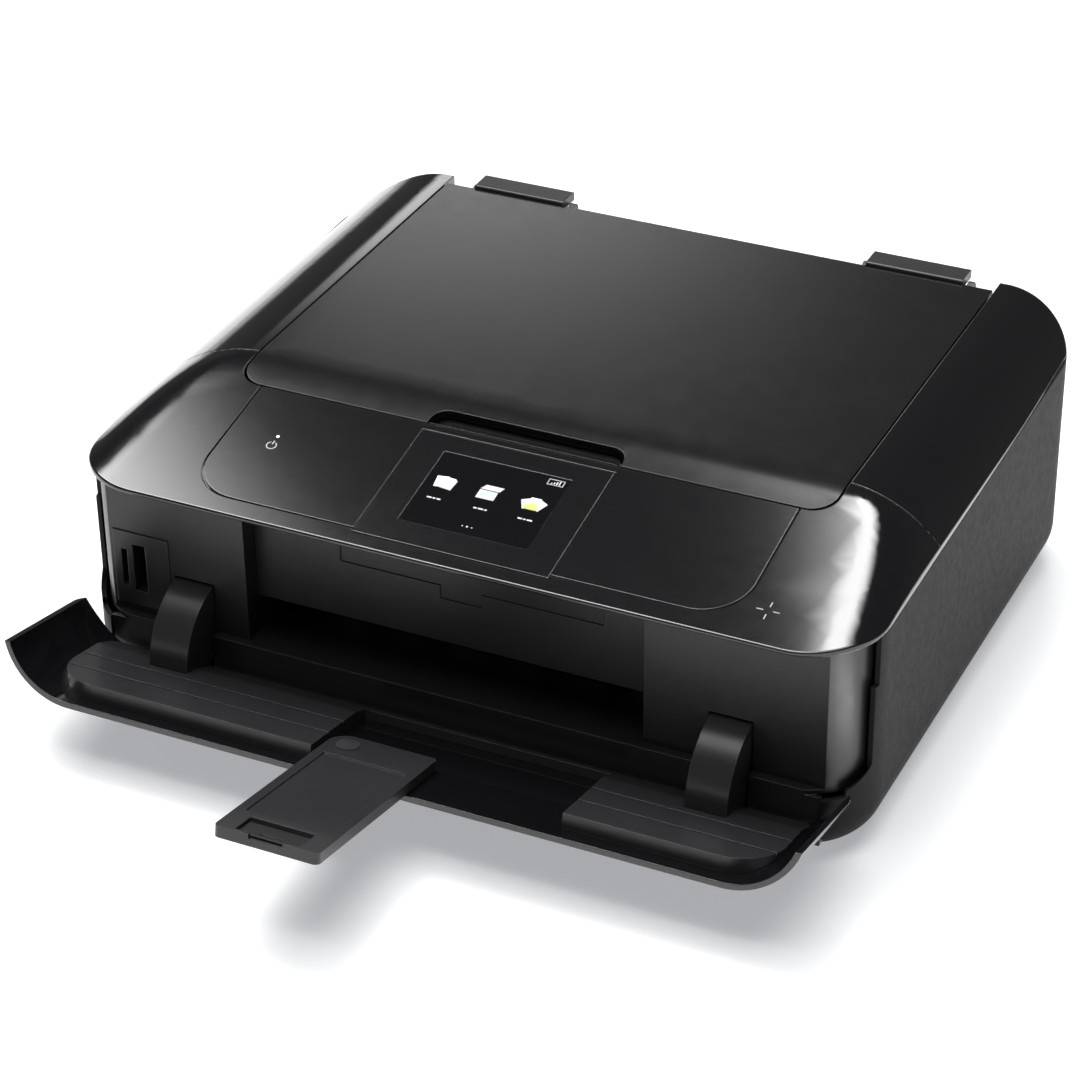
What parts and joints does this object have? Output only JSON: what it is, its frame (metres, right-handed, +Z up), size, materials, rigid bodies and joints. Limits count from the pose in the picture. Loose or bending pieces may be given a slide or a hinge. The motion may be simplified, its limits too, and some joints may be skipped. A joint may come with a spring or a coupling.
{
  "type": "inkjet printer",
  "caption": "Desktop all-in-one inkjet printer: flatbed scanner under a hinged lid, tilting display, fold-down output tray with swing-out arm, paper cassette.",
  "frame": {"origin": "on the surface the printer stands on, under the middle of its outline with the output tray open and its arm out", "axes": "+X to the right seen from the front, +Y from the front to the back, +Z up"},
  "size_m": [0.435, 0.5158, 0.149],
  "materials": {
    "black_plastic": "fine moulded grain, satin black",
    "gloss_black": "polished piano black",
    "dark_plastic": "dark grey moulded plastic",
    "inner_plastic": "grey engineering plastic",
    "white_plastic": "natural acetal, off-white",
    "foam": "white faced foam",
    "rubber": "black moulded rubber",
    "steel": "zinc-plated steel sheet and ground rod",
    "screw_steel": "blackened steel",
    "glass": "clear float glass",
    "screen": "dark cover glass over a colour display",
    "board": "green solder mask",
    "belt": "toothed rubber belt",
    "tank": "dark translucent ink tanks"
  },
  "bodies": {
    "chassis": {"base_pan": "dark_plastic", "side_cover_left": "black_plastic", "side_cover_right": "black_plastic", "rear_cover": "dark_plastic", "lower_front": "black_plastic", "front_frame": "black_plastic", "exit_panel": "black_plastic", "card_slots": "black_plastic", "rubber_feet": "rubber", "casing_screws": "screw_steel", "engine_brackets": "steel", "power_supply": "dark_plastic", "power_inlet": "dark_plastic", "data_ports": "dark_plastic", "main_board": "board", "platen": "inner_plastic", "carriage_rail": "steel", "rail_frame": "steel", "carriage_belt": "belt", "motors": "steel", "maintenance_station": "inner_plastic"},
    "transport_door": {"transport_cover": "dark_plastic"},
    "output_tray": {"tray_cover": "gloss_black", "tray_liner": "black_plastic", "tray_hinge_arms": "black_plastic", "tray_pins": "steel"},
    "swing_arm": {"tray_arm": "black_plastic"},
    "stop_tab": {"paper_stop": "black_plastic"},
    "cassette": {"cassette_tray": "dark_plastic", "cassette_front": "dark_plastic"},
    "guide_left": {"paper_guide_left": "inner_plastic"},
    "guide_right": {"paper_guide_right": "inner_plastic"},
    "guide_end": {"paper_end_guide": "inner_plastic"},
    "feed_drive": {"feed_roller": "steel", "feed_gear": "white_plastic"},
    "exit_drive": {"exit_shaft": "steel", "exit_rollers": "rubber", "exit_gear": "white_plastic"},
    "idler": {"idler_gear": "white_plastic"},
    "pinion": {"motor_pinion": "white_plastic"},
    "turn_drive": {"turn_roller": "dark_plastic"},
    "belt_drive": {"drive_pulley": "white_plastic"},
    "belt_idler": {"idler_pulley": "white_plastic"},
    "carriage": {"print_carriage": "dark_plastic", "print_head": "inner_plastic", "ink_tanks": "tank"},
    "scanner_unit": {"scanner_frame": "dark_plastic", "panel_housing": "gloss_black", "touch_panel": "gloss_black", "shoulder_left": "black_plastic", "shoulder_right": "black_plastic", "hinge_pins": "steel", "scan_glass": "glass", "scan_rail": "steel"},
    "scan_bar": {"scan_carriage": "dark_plastic"},
    "display": {"display_panel": "gloss_black", "lcd_module": "screen"},
    "document_lid": {"lid_shell": "black_plastic", "lid_pad": "foam", "lid_hinges": "black_plastic"}
  },
  "joints": [
    {"name": "output_tray_hinge", "type": "hinge", "parent": "chassis", "child": "output_tray", "pos_m": [0, -0.0829, 0.0339], "axis": [-1, 0, 0], "range_deg": [0, 78]},
    {"name": "tray_arm_swing", "type": "hinge", "parent": "output_tray", "child": "swing_arm", "pos_m": [-0.03, -0.14775, 0.03664], "axis": [0, 0.2079, 0.9781], "range_deg": [0, 90]},
    {"name": "paper_stop_flip", "type": "hinge", "parent": "swing_arm", "child": "stop_tab", "pos_m": [-0.01375, -0.24263, 0.05681], "axis": [-1, 0, 0], "range_deg": [0, 80]},
    {"name": "scanner_unit_hinge", "type": "hinge", "parent": "chassis", "child": "scanner_unit", "pos_m": [0, 0.2467, 0.1315], "axis": [-1, 0, 0], "range_deg": [0, 35]},
    {"name": "document_lid_hinge", "type": "hinge", "parent": "scanner_unit", "child": "document_lid", "pos_m": [0, 0.2499, 0.14], "axis": [-1, 0, 0], "range_deg": [0, 85]},
    {"name": "display_tilt", "type": "hinge", "parent": "scanner_unit", "child": "display", "pos_m": [0, -0.0901, 0.1259], "axis": [1, 0, 0], "range_deg": [0, 40]},
    {"name": "scan_bar_slide", "type": "slide", "parent": "scanner_unit", "child": "scan_bar", "axis": [1, 0, 0], "range_m": [0, 0.34]},
    {"name": "print_carriage_slide", "type": "slide", "parent": "chassis", "child": "carriage", "axis": [-1, 0, 0], "range_m": [0, 0.276]},
    {"name": "belt_drive_spin", "type": "hinge", "parent": "chassis", "child": "belt_drive", "pos_m": [0.2, 0.0779, 0.09], "axis": [0, 0, -1], "range_deg": [0, 2640]},
    {"name": "belt_idler_spin", "type": "hinge", "parent": "chassis", "child": "belt_idler", "pos_m": [-0.2, 0.0779, 0.09], "axis": [0, 0, -1], "range_deg": [0, 2640]},
    {"name": "feed_roller_spin", "type": "hinge", "parent": "chassis", "child": "feed_drive", "pos_m": [0, 0.0599, 0.057], "axis": [1, 0, 0], "continuous": true},
    {"name": "exit_roller_spin", "type": "hinge", "parent": "chassis", "child": "exit_drive", "pos_m": [0, -0.0381, 0.054], "axis": [1, 0, 0], "continuous": true},
    {"name": "idler_spin", "type": "hinge", "parent": "chassis", "child": "idler", "pos_m": [0, 0.0109, 0.0555], "axis": [1, 0, 0], "continuous": true},
    {"name": "pinion_spin", "type": "hinge", "parent": "chassis", "child": "pinion", "pos_m": [0, 0.08069, 0.069], "axis": [1, 0, 0], "continuous": true},
    {"name": "turn_roller_spin", "type": "hinge", "parent": "chassis", "child": "turn_drive", "pos_m": [0, 0.1999, 0.045], "axis": [1, 0, 0], "continuous": true},
    {"name": "cassette_slide", "type": "slide", "parent": "chassis", "child": "cassette", "axis": [0, -1, 0], "range_m": [0, 0.26]},
    {"name": "side_guide_slide", "type": "slide", "parent": "cassette", "child": "guide_left", "axis": [1, 0, 0], "range_m": [0, 0.05]},
    {"name": "side_guide_follow", "type": "slide", "parent": "cassette", "child": "guide_right", "axis": [-1, 0, 0], "range_m": [0, 0.05]},
    {"name": "end_guide_slide", "type": "slide", "parent": "cassette", "child": "guide_end", "axis": [0, 1, 0], "range_m": [0, 0.06]},
    {"name": "transport_cover_hinge", "type": "hinge", "parent": "chassis", "child": "transport_door", "pos_m": [0, 0.25165, 0.03225], "axis": [-1, 0, 0], "range_deg": [0, 90]}
  ],
  "couplings": [
    {"joint": "tray_arm_swing", "follows": "output_tray_hinge", "ratio": 1.1538},
    {"joint": "belt_drive_spin", "follows": "print_carriage_slide", "rad_per_m": 166.67},
    {"joint": "belt_idler_spin", "follows": "print_carriage_slide", "rad_per_m": 166.67},
    {"joint": "exit_roller_spin", "follows": "feed_roller_spin", "ratio": 1},
    {"joint": "idler_spin", "follows": "feed_roller_spin", "ratio": -0.58064},
    {"joint": "pinion_spin", "follows": "feed_roller_spin", "ratio": -3},
    {"joint": "turn_roller_spin", "follows": "feed_roller_spin", "ratio": 0.375},
    {"joint": "side_guide_follow", "follows": "side_guide_slide", "ratio": 1}
  ]
}
